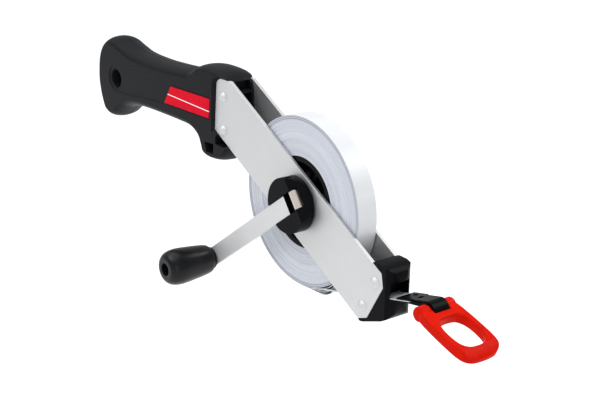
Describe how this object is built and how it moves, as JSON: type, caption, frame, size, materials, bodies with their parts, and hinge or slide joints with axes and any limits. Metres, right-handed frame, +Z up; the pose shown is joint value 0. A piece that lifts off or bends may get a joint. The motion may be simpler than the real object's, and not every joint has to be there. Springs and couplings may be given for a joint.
{
  "type": "surveyor tape reel",
  "caption": "Open-frame surveyor's tape reel: moulded hand grip, slanted side plates, wound tape, folding crank with a knob, tape mouth and a finger pull ring.",
  "frame": {"origin": "middle of the hand grip, on the joint between its two shells", "axes": "+X forward along the grip to the pull ring, +Z up, -Y the crank side; the reel turns about Y"},
  "size_m": [0.3606, 0.0645, 0.1267],
  "materials": {
    "shell_near": "fine moulded texture",
    "shell_far": "fine moulded texture",
    "shell_screws": "plain",
    "label_plate": "smooth satin to gloss",
    "plate_near": "satin",
    "plate_far": "satin",
    "frame_rivets": "satin",
    "mouth_block": "fine moulded texture",
    "guide_roller": "fine moulded texture",
    "roller_pin": "plain",
    "near_bush": "fine moulded texture",
    "far_bush": "fine moulded texture",
    "tape_run": "smooth satin to gloss",
    "drum": "fine moulded texture",
    "spindle": "plain",
    "spindle_washer": "plain",
    "spindle_screw": "plain",
    "tape_pack": "smooth satin to gloss",
    "crank_boss": "fine moulded texture",
    "fold_pin": "plain",
    "detent_spring": "bright spring strip",
    "crank_arm": "satin",
    "knob_pin": "plain",
    "knob": "smooth satin to gloss",
    "tape_lead": "smooth satin to gloss",
    "tape_clip": "fine moulded texture",
    "clip_rivets": "plain",
    "pull_ring": "smooth satin to gloss"
  },
  "bodies": {
    "frame": {"shell_near": "shell_near", "shell_far": "shell_far", "shell_screws": "shell_screws", "label_plate": "label_plate", "plate_near": "plate_near", "plate_far": "plate_far", "frame_rivets": "frame_rivets", "mouth_block": "mouth_block", "roller_pin": "roller_pin", "near_bush": "near_bush", "far_bush": "far_bush", "tape_run": "tape_run"},
    "guide": {"guide_roller": "guide_roller"},
    "reel": {"drum": "drum", "spindle": "spindle", "spindle_washer": "spindle_washer", "spindle_screw": "spindle_screw", "tape_pack": "tape_pack", "crank_boss": "crank_boss", "fold_pin": "fold_pin", "detent_spring": "detent_spring"},
    "crank": {"crank_arm": "crank_arm", "knob_pin": "knob_pin"},
    "grip_knob": {"knob": "knob"},
    "tape_end": {"tape_lead": "tape_lead", "tape_clip": "tape_clip", "clip_rivets": "clip_rivets"},
    "ring": {"pull_ring": "pull_ring"}
  },
  "joints": [
    {"name": "reel_spin", "type": "hinge", "parent": "frame", "child": "reel", "pos_m": [0.16, 0, -0.036], "axis": [0, -1, 0], "continuous": true},
    {"name": "crank_fold", "type": "hinge", "parent": "reel", "child": "crank", "pos_m": [0.16673, -0.015, -0.03098], "axis": [-0.5976, 0, 0.8018], "range_deg": [0, 180]},
    {"name": "knob_spin", "type": "hinge", "parent": "crank", "child": "grip_knob", "pos_m": [0.08704, -0.0343, -0.09038], "axis": [0, -1, 0], "continuous": true},
    {"name": "tape_pull", "type": "slide", "parent": "frame", "child": "tape_end", "axis": [0.9715, 0, 0.2368], "range_m": [0, 0.053]},
    {"name": "ring_swivel", "type": "hinge", "parent": "tape_end", "child": "ring", "pos_m": [0.26251, 0, -0.06597], "axis": [0, -1, 0], "range_deg": [-68, 60]},
    {"name": "guide_spin", "type": "hinge", "parent": "frame", "child": "guide", "pos_m": [0.23086, 0, -0.07333], "axis": [0, 1, 0], "continuous": true}
  ]
}
